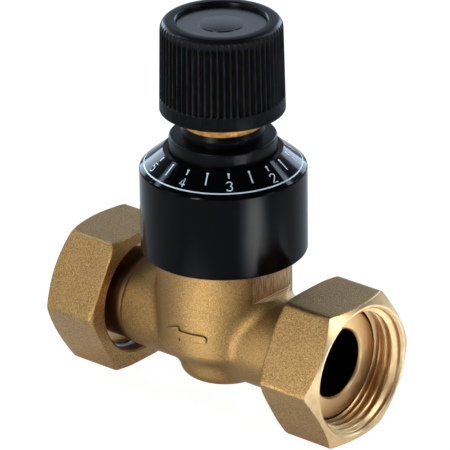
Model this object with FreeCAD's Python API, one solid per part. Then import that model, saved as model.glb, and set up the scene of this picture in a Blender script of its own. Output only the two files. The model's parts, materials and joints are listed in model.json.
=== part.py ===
# Differential pressure overflow valve: a cast brass angle-seat body with two swivel union
# nuts, a spring-loaded disc, and a knob that sets the spring load against a scale ring.
# Millimetres. X is the pipe axis with the inlet at +X, Z is the spindle axis, and the
# origin is the point where the two axes cross.
import FreeCAD, Part
import math
import os

from FreeCAD import Vector

# Fits shared by all pieces, each a gap on the radius or along the axis
running_gap = 0.05
thread_gap = 0.05
loose_gap = 0.30

# Body casting
barrel_wall = 3.4
barrel_drop = 4.5
barrel_edge_round = 3.0
body_top_height = 26.0
bulb_wall = 2.5
bulb_drop = 12.6
bulb_edge_round = 2.6
neck_radius = 12.4
neck_cast_reach = 25.6
neck_end_round = 0.9
neck_fillet = 4.0
flat_wall = 1.7
flat_foot_height = 13.2

# Machined spigots that carry the union nuts
spigot_radius = 11.9
spigot_collar_radius = 14.75
spigot_collar_length = 3.8
spigot_face_reach = 37.3
spigot_edge_chamfer = 0.5
pipe_bore_radius = 9.0
bore_edge_chamfer = 0.5

# Flow arrow, raised on the front of the barrel and pointing at the outlet
arrow_tip_reach = 6.1
arrow_head_length = 5.4
arrow_head_half_height = 2.4
arrow_shaft_half_height = 1.0
arrow_tail_reach = 7.2
arrow_height = 3.5
arrow_relief = 0.5
arrow_tip_round = 0.4
arrow_barb_round = 0.5
arrow_tail_round = 0.9

# Chambers inside the body
web_top_height = 0.5
web_thickness = 2.5
seat_bore_radius = 7.5
seat_lip_width = 1.5
seat_lip_rise = 0.8
lower_chamber_margin = 1.8
lower_chamber_floor_wall = 2.9
chamber_thread_step = 0.5
chamber_end_wall = 3.1
chamber_floor_round = 1.0
outlet_inner_reach = 11.5
bonnet_thread_radius = 14.0
bonnet_thread_length = 11.0

# Bonnet
gasket_thickness = 1.0
gasket_width = 2.9
bonnet_hex_across_flats = 33.0
bonnet_hex_height = 6.0
bonnet_corner_chamfer = 0.6
bonnet_drum_radius = 15.4
bonnet_drum_height = 13.0
bonnet_cap_thickness = 2.0
hub_radius = 10.1
hub_edge_chamfer = 0.6
guide_spring_gap = 1.7
hub_reach_into_knob = 5.2

# Scale sleeve and the ring nut that clamps it
sleeve_clearance = 0.65
sleeve_cap_thickness = 3.0
sleeve_rim_rise = 1.0
sleeve_cone_top_radius = 15.4
sleeve_cone_drop = 5.1
sleeve_height_below_cone = 22.5
sleeve_wall = 1.8
sleeve_edge_round = 0.7
sleeve_foot_round = 0.4
ring_nut_radius = 13.85
ring_nut_height = 4.9
ring_nut_edge_round = 0.6
ring_nut_lip_width = 0.6
ring_nut_lip_rise = 2.9
ring_nut_lip_land = 0.2
ring_nut_lip_slope_height = 1.2
ring_nut_lip_round = 0.3

# Adjusting spindle
journal_radius = 4.0
thread_rod_radius = 3.5
thread_rod_length = 17.0
thrust_flange_radius = 7.0
thrust_flange_thickness = 2.0
thrust_washer_thickness = 0.8
guide_bore_depth = 16.0
oring_section_radius = 0.7
oring_ease = 0.01
oring_depths_below_hub_top = (4.0, 8.0)
upper_washer_radius = 7.0
upper_washer_thickness = 0.5
circlip_thickness = 0.8
circlip_groove_depth = 0.8
circlip_radius = 6.0
circlip_gap_degrees = 50.0
drive_across_flats = 5.6
drive_length = 10.0

# Setting spring and its carrier
carrier_height = 10.0
carrier_top_gap = 1.0
spring_centring_gap = 0.6
carrier_boss_height = 3.0
spring_wire_radius = 0.7
spring_coil_radius = 7.6
spring_turns = 7

# Disc assembly
disc_spring_margin = 0.5
disc_thickness = 1.6
disc_pilot_height = 2.0
disc_pilot_round = 0.4
seal_seat_margin = 0.2
seal_thickness = 1.7
stud_radius = 1.5
retainer_bore_gap = 1.5
retainer_thickness = 1.0
retainer_nut_across_flats = 5.5
retainer_nut_height = 2.2
stud_end_reach = 0.4
stem_radius = 1.8
stem_length = 28.0
stem_socket_depth = 2.6
stem_end_round = 0.5

# Knob
knob_gap = 6.9
knob_height = 24.3
knob_skirt_radius = 16.1
knob_shoulder_radius = 15.6
knob_shoulder_round = 2.6
knob_foot_round = 0.4
knob_band_height = 3.7
knob_rib_count = 60
knob_groove_depth = 0.55
knob_groove_share = 0.69
knob_recess_radius = 11.6
knob_recess_depth = 1.2
knob_rim_round = 0.7
knob_wall = 2.6
knob_web_thickness = 3.2
knob_boss_radius = 7.4
cover_thickness = 1.6
cover_crown_radius = 5.8
cover_crown_step = 0.15
cover_crown_rise = 0.45
cover_edge_round = 0.3
cover_spigot_radius = 8.6
cover_spigot_length = 1.6
cover_spigot_wall = 1.0
screw_radius = 1.5
screw_length = 12.0
screw_tip_gap = 1.0
screw_head_round = 0.3
screw_head_radius = 2.8
screw_head_height = 2.0
screw_socket_across_flats = 2.5
screw_socket_depth = 1.2
screw_washer_radius = 3.6
screw_washer_thickness = 0.6

# Union nuts and their snap rings
nut_across_flats = 37.0
nut_front_overhang = 7.7
nut_length = 17.0
nut_front_circle_radius = 17.7
nut_chamfer_degrees = 30.0
nut_rear_chamfer = 0.6
nut_thread_radius = 16.65
nut_mouth_chamfer = 0.5
nut_lip_chamfer = 0.5
nut_lip_length = 3.4
nut_thread_runout = 0.8
snap_ring_section_radius = 1.0
snap_ring_bite = 0.7
snap_ring_gap_degrees = 24.0
inlet_ring_gap_at_degrees = 215.0
outlet_ring_gap_at_degrees = 227.0

# Radii and widths that follow from what each piece encloses
barrel_radius = bonnet_thread_radius + barrel_wall
flat_distance = bonnet_thread_radius + flat_wall
upper_chamber_radius = bonnet_thread_radius - chamber_thread_step
lower_chamber_radius = seat_bore_radius + lower_chamber_margin
bulb_radius = lower_chamber_radius + bulb_wall
spring_outer_radius = spring_coil_radius + spring_wire_radius
guide_across_flats = 2 * (spring_outer_radius + guide_spring_gap)
carrier_boss_radius = spring_coil_radius - spring_wire_radius - spring_centring_gap
disc_pilot_radius = carrier_boss_radius
disc_radius = spring_outer_radius + disc_spring_margin
seal_radius = seat_bore_radius + seat_lip_width + seal_seat_margin
retainer_radius = seat_bore_radius - retainer_bore_gap
bonnet_corner_radius = bonnet_hex_across_flats / math.sqrt(3)
sleeve_inner_radius = max(bonnet_corner_radius, barrel_radius) + sleeve_clearance
sleeve_radius = sleeve_inner_radius + sleeve_wall
knob_cavity_radius = knob_shoulder_radius - knob_wall
journal_bore_radius = journal_radius + running_gap
cover_radius = knob_recess_radius - running_gap

# Reaches along X that follow from the spigot's sealing face
nut_front_reach = spigot_face_reach + nut_front_overhang
nut_rear_reach = nut_front_reach - nut_length

# Levels along Z that follow from the sizes above
web_bottom_height = web_top_height - web_thickness
seat_lip_height = web_top_height + seat_lip_rise
bonnet_foot_height = body_top_height - bonnet_thread_length
bonnet_hex_bottom = body_top_height + gasket_thickness
bonnet_hex_top = bonnet_hex_bottom + bonnet_hex_height
bonnet_shoulder_height = bonnet_hex_top + bonnet_drum_height
guide_top_height = bonnet_shoulder_height - bonnet_cap_thickness
ring_nut_bottom = bonnet_shoulder_height + sleeve_cap_thickness
ring_nut_top = ring_nut_bottom + ring_nut_height
sleeve_top_height = ring_nut_bottom + sleeve_rim_rise
sleeve_cone_foot = sleeve_top_height - sleeve_cone_drop
sleeve_bottom_height = sleeve_cone_foot - sleeve_height_below_cone
knob_bottom_height = ring_nut_top + knob_gap
knob_top_height = knob_bottom_height + knob_height
hub_top_height = knob_bottom_height + hub_reach_into_knob
thrust_flange_top = guide_top_height - thrust_washer_thickness
thrust_flange_bottom = thrust_flange_top - thrust_flange_thickness
thread_rod_bottom = thrust_flange_bottom - thread_rod_length
carrier_top = thrust_flange_bottom - carrier_top_gap
carrier_bottom = carrier_top - carrier_height
disc_bottom = seat_lip_height + seal_thickness
disc_top = disc_bottom + disc_thickness
circlip_bottom = hub_top_height + upper_washer_thickness + running_gap
drive_bottom = circlip_bottom + circlip_thickness
drive_top = drive_bottom + drive_length
cover_top_height = knob_top_height - knob_recess_depth
cover_seat_height = cover_top_height - cover_thickness


def rounded_wire(corners, place):
    """Closed wire through (u, v) or (u, v, rounding) corners, each rounding a tangent arc."""
    points = [Vector(c[0], c[1], 0) for c in corners]
    rounds = [c[2] if len(c) > 2 else 0.0 for c in corners]
    starts, ends, middles = [], [], []
    for i, point in enumerate(points):
        back = (points[i - 1] - point).normalize()
        ahead = (points[(i + 1) % len(points)] - point).normalize()
        half_angle = back.getAngle(ahead) / 2
        inset = rounds[i] / math.tan(half_angle)
        starts.append(point + back * inset)
        ends.append(point + ahead * inset)
        to_middle = rounds[i] / math.sin(half_angle) - rounds[i]
        middles.append(point + (back + ahead).normalize() * to_middle if rounds[i] else point)
    edges = []
    for i in range(len(points)):
        if rounds[i]:
            edges.append(Part.Arc(place(starts[i]), place(middles[i]), place(ends[i])).toShape())
        following = (i + 1) % len(points)
        if ends[i].distanceToPoint(starts[following]) > 1e-6:
            edges.append(Part.makeLine(place(ends[i]), place(starts[following])))
    return Part.Wire(edges)


def turned_z(corners):
    """Solid of revolution about Z from (radius, height) corners."""
    wire = rounded_wire(corners, lambda p: Vector(p.x, 0, p.y))
    return Part.Face(wire).revolve(Vector(0, 0, 0), Vector(0, 0, 1), 360)


def turned_x(corners):
    """Solid of revolution about X from (reach, radius) corners."""
    wire = rounded_wire(corners, lambda p: Vector(p.x, 0, p.y))
    return Part.Face(wire).revolve(Vector(0, 0, 0), Vector(1, 0, 0), 360)


def tube_z(outer_radius, inner_radius, bottom, top):
    """Plain ring or bush about Z."""
    corners = [(inner_radius, bottom), (outer_radius, bottom), (outer_radius, top), (inner_radius, top)]
    return turned_z(corners)


def rod_z(radius, bottom, top):
    return Part.makeCylinder(radius, top - bottom, Vector(0, 0, bottom))


def hexagon_z(across_flats, bottom, top):
    """Hexagonal bar about Z with two flats facing Y."""
    corner_radius = across_flats / math.sqrt(3)
    angles = [math.radians(a) for a in range(0, 361, 60)]
    corners = [Vector(corner_radius * math.cos(a), corner_radius * math.sin(a), bottom) for a in angles]
    return Part.Face(Part.makePolygon(corners)).extrude(Vector(0, 0, top - bottom))


def square_z(across_flats, bottom, top):
    half = across_flats / 2
    return Part.makeBox(across_flats, across_flats, top - bottom, Vector(-half, -half, bottom))


def toward_outlet(shape):
    """The same piece on the outlet side: the inlet side turned half a turn about Z."""
    turned = shape.copy()
    turned.rotate(Vector(0, 0, 0), Vector(0, 0, 1), 180)
    return turned


def casting_outside():
    """Barrel, bulb and the two necks, with the cast fillets where they meet."""
    barrel = turned_z([
        (0, -barrel_drop), (barrel_radius, -barrel_drop, barrel_edge_round),
        (barrel_radius, body_top_height), (0, body_top_height),
    ])
    bulb = turned_z([
        (0, -bulb_drop), (bulb_radius, -bulb_drop, bulb_edge_round), (bulb_radius, 0), (0, 0),
    ])
    neck = turned_x([
        (-neck_cast_reach, 0), (-neck_cast_reach, neck_radius, neck_end_round),
        (neck_cast_reach, neck_radius, neck_end_round), (neck_cast_reach, 0),
    ])
    casting = barrel.fuse([neck, bulb])
    return casting.makeFillet(neck_fillet, [e for e in casting.Edges if is_cast_corner(e)])


def is_cast_corner(edge):
    """True for the edges where a neck or the bulb runs into the barrel."""
    points = edge.discretize(5)
    on_neck = all(abs(math.hypot(p.y, p.z) - neck_radius) < 0.01 for p in points)
    straight = all(abs(p.y) < 0.01 for p in points)
    at_end = any(abs(p.x) > neck_cast_reach - neck_end_round - 0.01 for p in points)
    on_bulb = all(abs(math.hypot(p.x, p.y) - bulb_radius) < 0.01 for p in points)
    under_barrel = all(abs(p.z + barrel_drop) < 0.01 for p in points)
    return (on_neck and not straight and not at_end) or (on_bulb and under_barrel)


def spigot_outside():
    """Machined neck and end collar of the inlet side, as a bar about X."""
    collar_start = spigot_face_reach - spigot_collar_length
    return turned_x([
        (barrel_radius, 0), (barrel_radius, spigot_radius), (collar_start, spigot_radius),
        (collar_start, spigot_collar_radius), (spigot_face_reach - spigot_edge_chamfer, spigot_collar_radius),
        (spigot_face_reach, spigot_collar_radius - spigot_edge_chamfer), (spigot_face_reach, 0),
    ])


def flow_arrow():
    """Raised arrow on the front of the barrel, curved with it and pointing to -X."""
    head_back = -arrow_tip_reach + arrow_head_length
    outline = [
        (-arrow_tip_reach, 0, arrow_tip_round), (head_back, arrow_head_half_height, arrow_barb_round),
        (head_back, arrow_shaft_half_height), (arrow_tail_reach, arrow_shaft_half_height, arrow_tail_round),
        (arrow_tail_reach, -arrow_shaft_half_height, arrow_tail_round), (head_back, -arrow_shaft_half_height),
        (head_back, -arrow_head_half_height, arrow_barb_round),
    ]
    wire = rounded_wire(outline, lambda p: Vector(p.x, 0, arrow_height + p.y))
    prism = Part.Face(wire).extrude(Vector(0, -2 * barrel_radius, 0))
    skin = rod_z(barrel_radius + arrow_relief, -barrel_drop, body_top_height)
    return prism.common(skin)


def bore_x(radius, inner_reach, outer_reach):
    return Part.makeCylinder(radius, outer_reach - inner_reach, Vector(inner_reach, 0, 0), Vector(1, 0, 0))


def mouth_chamfer_x():
    """Countersink at the mouth of the inlet bore."""
    return turned_x([
        (spigot_face_reach - bore_edge_chamfer, 0), (spigot_face_reach - bore_edge_chamfer, pipe_bore_radius),
        (spigot_face_reach, pipe_bore_radius + bore_edge_chamfer), (spigot_face_reach, 0),
    ])


def body_cavities():
    """Inlet bore to the lower chamber, seat bore, upper chamber, outlet bore and bonnet thread."""
    below_web = Part.makeBox(
        2 * spigot_face_reach, 2 * spigot_face_reach, spigot_face_reach,
        Vector(-spigot_face_reach, -spigot_face_reach, web_bottom_height - spigot_face_reach),
    )
    inlet_reach = upper_chamber_radius + chamber_end_wall
    inlet = bore_x(pipe_bore_radius, inlet_reach, spigot_face_reach)
    inlet_under_web = bore_x(pipe_bore_radius, 0, inlet_reach).common(below_web)
    lower_chamber = rod_z(
        lower_chamber_radius, -bulb_drop + lower_chamber_floor_wall, web_bottom_height,
    )
    seat_bore = rod_z(seat_bore_radius, web_bottom_height, seat_lip_height)
    upper_chamber = turned_z([
        (seat_bore_radius + seat_lip_width, web_top_height),
        (upper_chamber_radius, web_top_height, chamber_floor_round),
        (upper_chamber_radius, body_top_height), (0, body_top_height), (0, seat_lip_height),
        (seat_bore_radius + seat_lip_width / 2, seat_lip_height),
    ])
    bonnet_thread = rod_z(bonnet_thread_radius, bonnet_foot_height - loose_gap, body_top_height)
    outlet = toward_outlet(bore_x(pipe_bore_radius, outlet_inner_reach, spigot_face_reach))
    mouths = [mouth_chamfer_x(), toward_outlet(mouth_chamfer_x())]
    return inlet.fuse(
        [inlet_under_web, lower_chamber, seat_bore, upper_chamber, bonnet_thread, outlet] + mouths
    )


def body_flats():
    """Milled flats on both ends of the barrel, down to the ledge above each neck."""
    width = 2 * barrel_radius
    height = body_top_height - flat_foot_height
    flat = Part.makeBox(width, width, height, Vector(flat_distance, -barrel_radius, flat_foot_height))
    return [flat, toward_outlet(flat)]


def make_valve_body():
    outside = casting_outside().fuse([spigot_outside(), toward_outlet(spigot_outside())])
    outside = outside.cut(body_flats()).fuse(flow_arrow())
    return outside.cut(body_cavities()).removeSplitter()


def make_bonnet_gasket():
    inner = bonnet_thread_radius + running_gap
    return tube_z(inner + gasket_width, inner, body_top_height, bonnet_hex_bottom)


def make_bonnet():
    """Screwed-in cap of the body: guides the spring carrier and bears the spindle."""
    shank = rod_z(bonnet_thread_radius - thread_gap, bonnet_foot_height, bonnet_hex_bottom)
    hexagon = hexagon_z(bonnet_hex_across_flats, bonnet_hex_bottom, bonnet_hex_top)
    end_radius = bonnet_corner_radius - bonnet_corner_chamfer
    corner_cut = turned_z([
        (0, bonnet_hex_bottom), (end_radius, bonnet_hex_bottom),
        (bonnet_corner_radius, bonnet_hex_bottom + bonnet_corner_chamfer),
        (bonnet_corner_radius, bonnet_hex_top - bonnet_corner_chamfer), (end_radius, bonnet_hex_top),
        (0, bonnet_hex_top),
    ])
    drum = turned_z([
        (0, bonnet_hex_top), (bonnet_drum_radius, bonnet_hex_top),
        (bonnet_drum_radius, bonnet_shoulder_height), (hub_radius, bonnet_shoulder_height),
        (hub_radius, hub_top_height - hub_edge_chamfer),
        (hub_radius - hub_edge_chamfer, hub_top_height), (0, hub_top_height),
    ])
    guide = hexagon_z(guide_across_flats, bonnet_foot_height, guide_top_height)
    journal = rod_z(journal_bore_radius, guide_top_height, hub_top_height)
    return shank.fuse([hexagon.common(corner_cut), drum]).cut([guide, journal]).removeSplitter()


def make_scale_sleeve():
    """Turned black sleeve over the bonnet, with the cone that carries the scale."""
    slope = math.atan2(sleeve_cone_drop, sleeve_radius - sleeve_cone_top_radius)
    wall_drop = sleeve_wall / math.cos(slope)
    inner_cone_foot = sleeve_cone_foot - wall_drop + sleeve_wall * math.tan(slope)
    cone_run = (bonnet_shoulder_height - inner_cone_foot) / math.tan(slope)
    counterbore = ring_nut_radius + loose_gap
    return turned_z([
        (hub_radius + running_gap, bonnet_shoulder_height),
        (sleeve_inner_radius - cone_run, bonnet_shoulder_height),
        (sleeve_inner_radius, inner_cone_foot), (sleeve_inner_radius, sleeve_bottom_height),
        (sleeve_radius, sleeve_bottom_height, sleeve_foot_round),
        (sleeve_radius, sleeve_cone_foot, sleeve_edge_round),
        (sleeve_cone_top_radius, sleeve_top_height), (counterbore, sleeve_top_height),
        (counterbore, ring_nut_bottom), (hub_radius + running_gap, ring_nut_bottom),
    ])


def make_sleeve_ring_nut():
    """Black ring nut on the hub that clamps the sleeve, with a raised inner lip."""
    bore = hub_radius + thread_gap
    lip = bore + ring_nut_lip_width
    lip_top = ring_nut_top + ring_nut_lip_rise
    return turned_z([
        (bore, ring_nut_bottom), (ring_nut_radius, ring_nut_bottom),
        (ring_nut_radius, ring_nut_top, ring_nut_edge_round), (lip, ring_nut_top),
        (lip, lip_top - ring_nut_lip_slope_height, ring_nut_lip_round),
        (bore + ring_nut_lip_land, lip_top), (bore, lip_top),
    ])


def oring_heights():
    return [hub_top_height - depth for depth in oring_depths_below_hub_top]


def make_adjusting_spindle():
    """Spindle with a thrust flange, two seal grooves, a circlip groove and a square drive."""
    groove_floor = journal_radius - 2 * oring_section_radius
    turned = rod_z(thread_rod_radius, thread_rod_bottom, thrust_flange_bottom)
    flange = rod_z(thrust_flange_radius, thrust_flange_bottom, thrust_flange_top)
    journal = rod_z(journal_radius, thrust_flange_top, drive_bottom)
    drive = square_z(drive_across_flats, drive_bottom, drive_top).common(
        rod_z(journal_radius - running_gap, drive_bottom, drive_top)
    )
    half_groove = oring_section_radius + running_gap
    grooves = [
        tube_z(thrust_flange_radius, groove_floor, height - half_groove, height + half_groove)
        for height in oring_heights()
    ]
    circlip_floor = journal_radius - circlip_groove_depth
    grooves.append(tube_z(thrust_flange_radius, circlip_floor, circlip_bottom, drive_bottom))
    guide_bore = rod_z(stem_radius + running_gap, thread_rod_bottom, thread_rod_bottom + guide_bore_depth)
    screw_hole = rod_z(screw_radius + thread_gap, drive_top - screw_length, drive_top)
    return turned.fuse([flange, journal, drive]).cut(grooves + [guide_bore, screw_hole]).removeSplitter()


def make_spindle_oring(height):
    middle_radius = journal_radius - oring_section_radius
    return Part.makeTorus(middle_radius, oring_section_radius - oring_ease, Vector(0, 0, height))


def make_thrust_washer():
    return tube_z(thrust_flange_radius, journal_bore_radius, thrust_flange_top, guide_top_height)


def make_upper_washer():
    return tube_z(
        upper_washer_radius, journal_bore_radius, hub_top_height, hub_top_height + upper_washer_thickness,
    )


def make_spindle_circlip():
    """Open ring in the spindle's groove, resting on the upper washer."""
    inner = journal_radius - circlip_groove_depth + running_gap
    height = circlip_thickness - running_gap
    ring = tube_z(circlip_radius, inner, circlip_bottom, circlip_bottom + height)
    reach = 2 * circlip_radius
    half_gap = math.radians(circlip_gap_degrees / 2)
    wedge = Part.Face(Part.makePolygon([
        Vector(0, 0, circlip_bottom),
        Vector(reach * math.cos(half_gap), reach * math.sin(half_gap), circlip_bottom),
        Vector(reach * math.cos(half_gap), -reach * math.sin(half_gap), circlip_bottom),
        Vector(0, 0, circlip_bottom),
    ])).extrude(Vector(0, 0, height))
    return ring.cut(wedge)


def make_spring_carrier():
    """Hexagonal nut that slides in the bonnet and seats the top of the setting spring."""
    block = hexagon_z(guide_across_flats - 2 * running_gap, carrier_bottom, carrier_top)
    boss = rod_z(carrier_boss_radius, carrier_bottom - carrier_boss_height, carrier_bottom)
    bore = rod_z(thread_rod_radius + thread_gap, carrier_bottom - carrier_boss_height, carrier_top)
    return block.fuse(boss).cut(bore).removeSplitter()


def make_setting_spring():
    """Helical compression spring with its ends ground flat on the disc and the carrier."""
    length = carrier_bottom - disc_top
    pitch = length / spring_turns
    helix = Part.makeHelix(pitch, length + pitch, spring_coil_radius)
    helix.translate(Vector(0, 0, disc_top - pitch / 2))
    start = Vector(spring_coil_radius, 0, disc_top - pitch / 2)
    section = Part.Wire(Part.makeCircle(spring_wire_radius, start, Vector(0, 1, 0)))
    coil = Part.Wire(helix).makePipeShell([section], True, True)
    slab = rod_z(2 * spring_coil_radius, disc_top, carrier_bottom)
    return coil.common(slab)


def make_valve_disc():
    """Brass disc with a pilot for the spring, a socket for the stem and a stud below."""
    stud_bottom = seat_lip_height - retainer_thickness - retainer_nut_height - stud_end_reach
    pilot_top = disc_top + disc_pilot_height
    plate = turned_z([
        (0, stud_bottom), (stud_radius, stud_bottom), (stud_radius, disc_bottom),
        (disc_radius, disc_bottom), (disc_radius, disc_top), (disc_pilot_radius, disc_top),
        (disc_pilot_radius, pilot_top, disc_pilot_round), (0, pilot_top),
    ])
    return plate.cut(rod_z(stem_radius + thread_gap, pilot_top - stem_socket_depth, pilot_top))


def make_disc_seal():
    return tube_z(seal_radius, stud_radius + running_gap, seat_lip_height, disc_bottom)


def make_seal_retainer():
    bottom = seat_lip_height - retainer_thickness
    return tube_z(retainer_radius, stud_radius + running_gap, bottom, seat_lip_height)


def make_retainer_nut():
    top = seat_lip_height - retainer_thickness
    nut = hexagon_z(retainer_nut_across_flats, top - retainer_nut_height, top)
    return nut.cut(rod_z(stud_radius + thread_gap, top - retainer_nut_height, top))


def make_lift_stem():
    """Rod from the disc into the spindle's bore, which keeps the disc square to its seat."""
    bottom = disc_top + disc_pilot_height - stem_socket_depth
    top = bottom + stem_length
    return turned_z([(0, bottom), (stem_radius, bottom), (stem_radius, top, stem_end_round), (0, top)])


def knob_outside():
    """Turned outline of the knob: plain band, slight taper and a round shoulder."""
    rim = knob_recess_radius
    return turned_z([
        (0, knob_bottom_height), (knob_skirt_radius, knob_bottom_height, knob_foot_round),
        (knob_shoulder_radius, knob_top_height, knob_shoulder_round), (rim, knob_top_height, knob_rim_round),
        (rim, cover_top_height), (0, cover_top_height),
    ])


def knob_grooves():
    """Grooves between the grip ribs, parallel to the tapered side and out through the shoulder."""
    taper = (knob_skirt_radius - knob_shoulder_radius) / knob_height
    foot = knob_bottom_height + knob_band_height
    height = knob_top_height - foot
    radius = knob_skirt_radius - taper * knob_band_height
    mouth = radius + loose_gap
    half_width = math.pi * radius / knob_rib_count * knob_groove_share
    outline = Part.Face(Part.makePolygon([
        Vector(mouth, -half_width, foot), Vector(radius - knob_groove_depth, 0, foot),
        Vector(mouth, half_width, foot), Vector(mouth, -half_width, foot),
    ]))
    groove = outline.extrude(Vector(-taper * height, 0, height))
    grooves = []
    for i in range(knob_rib_count):
        turned = groove.copy()
        turned.rotate(Vector(0, 0, 0), Vector(0, 0, 1), 360 * i / knob_rib_count)
        grooves.append(turned)
    return grooves


def knob_hollow():
    """Cavity that clears the hub, drive socket, screw pocket and cover seat."""
    web_top = drive_top + screw_washer_thickness
    web_bottom = web_top - knob_web_thickness
    boss_bottom = drive_bottom + loose_gap
    cavity = tube_z(knob_cavity_radius, knob_boss_radius, boss_bottom, web_bottom)
    entry = rod_z(knob_cavity_radius, knob_bottom_height, boss_bottom)
    socket = square_z(drive_across_flats + 2 * running_gap, boss_bottom, drive_top)
    socket_round = rod_z(journal_radius, boss_bottom, drive_top)
    pocket = rod_z(screw_washer_radius + loose_gap, drive_top, cover_seat_height)
    socket_floor = cover_seat_height - cover_spigot_length - loose_gap
    cover_socket = rod_z(cover_spigot_radius + running_gap, socket_floor, cover_seat_height)
    cover_seat = rod_z(knob_recess_radius, cover_seat_height, knob_top_height)
    return [cavity, entry, socket.common(socket_round), pocket, cover_socket, cover_seat]


def make_knob():
    return knob_outside().cut(knob_grooves()).cut(knob_hollow()).removeSplitter()


def make_knob_cover():
    """Cap in the recess over the screw, with a crowned middle and a spigot below."""
    plate = turned_z([
        (0, cover_seat_height), (cover_radius, cover_seat_height),
        (cover_radius, cover_top_height, cover_edge_round), (0, cover_top_height),
    ])
    crown_foot = cover_top_height + cover_crown_step
    crown_top = crown_foot + cover_crown_rise
    ball_radius = (cover_crown_radius ** 2 + cover_crown_rise ** 2) / (2 * cover_crown_rise)
    ball = Part.makeSphere(ball_radius, Vector(0, 0, crown_top - ball_radius))
    crown = rod_z(cover_crown_radius, cover_seat_height, crown_top).common(ball)
    spigot = tube_z(
        cover_spigot_radius, cover_spigot_radius - cover_spigot_wall,
        cover_seat_height - cover_spigot_length, cover_seat_height,
    )
    return plate.fuse([crown, spigot]).removeSplitter()


def make_knob_screw():
    seat = drive_top + screw_washer_thickness
    tip = drive_top - screw_length + screw_tip_gap
    top = seat + screw_head_height
    screw = turned_z([
        (0, tip), (screw_radius, tip), (screw_radius, seat), (screw_head_radius, seat),
        (screw_head_radius, top, screw_head_round), (0, top),
    ])
    return screw.cut(hexagon_z(screw_socket_across_flats, top - screw_socket_depth, top))


def make_screw_washer():
    return tube_z(
        screw_washer_radius, screw_radius + running_gap, drive_top, drive_top + screw_washer_thickness,
    )


def snap_ring_reach():
    """Distance of the ring's middle from the origin: it lies against the back of the collar."""
    return spigot_face_reach - spigot_collar_length - snap_ring_section_radius


def snap_ring_middle_radius():
    return spigot_collar_radius - snap_ring_bite + snap_ring_section_radius


def make_inlet_union_nut():
    """Hexagon nut with chamfered corners, retaining lip, ring groove and threaded mouth."""
    corner_radius = nut_across_flats / math.sqrt(3)
    bar = hexagon_z(nut_across_flats, 0, nut_front_reach - nut_rear_reach)
    bar.rotate(Vector(0, 0, 0), Vector(0, 0, 1), 90)
    bar.rotate(Vector(0, 0, 0), Vector(0, 1, 0), 90)
    bar.translate(Vector(nut_rear_reach, 0, 0))
    front_run = (corner_radius - nut_front_circle_radius) * math.tan(math.radians(nut_chamfer_degrees))
    corners = turned_x([
        (nut_rear_reach, 0), (nut_rear_reach, corner_radius - 2 * nut_rear_chamfer),
        (nut_rear_reach + nut_rear_chamfer, corner_radius), (nut_front_reach - front_run, corner_radius),
        (nut_front_reach, nut_front_circle_radius), (nut_front_reach, 0),
    ])
    lip_radius = spigot_collar_radius + loose_gap
    groove_radius = snap_ring_middle_radius() + snap_ring_section_radius + loose_gap / 2
    groove_start = snap_ring_reach() - snap_ring_section_radius - running_gap
    groove_end = snap_ring_reach() + snap_ring_section_radius + running_gap
    thread_start = groove_end + nut_lip_length
    bore = turned_x([
        (nut_rear_reach, 0), (nut_rear_reach, lip_radius + nut_lip_chamfer),
        (nut_rear_reach + nut_lip_chamfer, lip_radius),
        (groove_start, lip_radius), (groove_start, groove_radius), (groove_end, groove_radius),
        (groove_end, lip_radius), (thread_start, lip_radius),
        (thread_start + nut_thread_runout, nut_thread_radius),
        (nut_front_reach - nut_mouth_chamfer, nut_thread_radius),
        (nut_front_reach, nut_thread_radius + nut_mouth_chamfer), (nut_front_reach, 0),
    ])
    return bar.common(corners).cut(bore).removeSplitter()


def make_snap_ring(gap_at_degrees):
    """Round-wire ring, open at one place, that holds the inlet nut on its collar."""
    middle = snap_ring_middle_radius()
    section = Part.makeCircle(snap_ring_section_radius, Vector(snap_ring_reach(), middle, 0), Vector(0, 0, 1))
    face = Part.Face(Part.Wire(section))
    ring = face.revolve(Vector(0, 0, 0), Vector(1, 0, 0), 360 - snap_ring_gap_degrees)
    ring.rotate(Vector(0, 0, 0), Vector(1, 0, 0), gap_at_degrees + snap_ring_gap_degrees / 2)
    return ring


def build_parts():
    inlet_nut = make_inlet_union_nut()
    upper_oring, lower_oring = [make_spindle_oring(height) for height in oring_heights()]
    return {
        "valve_body": make_valve_body(),
        "inlet_union_nut": inlet_nut,
        "outlet_union_nut": toward_outlet(inlet_nut),
        "inlet_snap_ring": make_snap_ring(inlet_ring_gap_at_degrees),
        "outlet_snap_ring": toward_outlet(make_snap_ring(outlet_ring_gap_at_degrees)),
        "bonnet_gasket": make_bonnet_gasket(),
        "bonnet": make_bonnet(),
        "scale_sleeve": make_scale_sleeve(),
        "sleeve_ring_nut": make_sleeve_ring_nut(),
        "adjusting_spindle": make_adjusting_spindle(),
        "spindle_oring_upper": upper_oring,
        "spindle_oring_lower": lower_oring,
        "thrust_washer": make_thrust_washer(),
        "upper_washer": make_upper_washer(),
        "spindle_circlip": make_spindle_circlip(),
        "spring_carrier": make_spring_carrier(),
        "setting_spring": make_setting_spring(),
        "valve_disc": make_valve_disc(),
        "disc_seal": make_disc_seal(),
        "seal_retainer": make_seal_retainer(),
        "retainer_nut": make_retainer_nut(),
        "lift_stem": make_lift_stem(),
        "knob": make_knob(),
        "knob_cover": make_knob_cover(),
        "knob_screw": make_knob_screw(),
        "screw_washer": make_screw_washer(),
    }


def main():
    os.makedirs("parts", exist_ok=True)
    for name, shape in build_parts().items():
        shape.exportStep(f"parts/{name}.step")
        box = shape.BoundBox
        print(f"{name}: {len(shape.Solids)} solid, volume {shape.Volume:.1f} mm3, valid {shape.isValid()}, "
              f"z {box.ZMin:.2f} to {box.ZMax:.2f}")


main()
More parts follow.
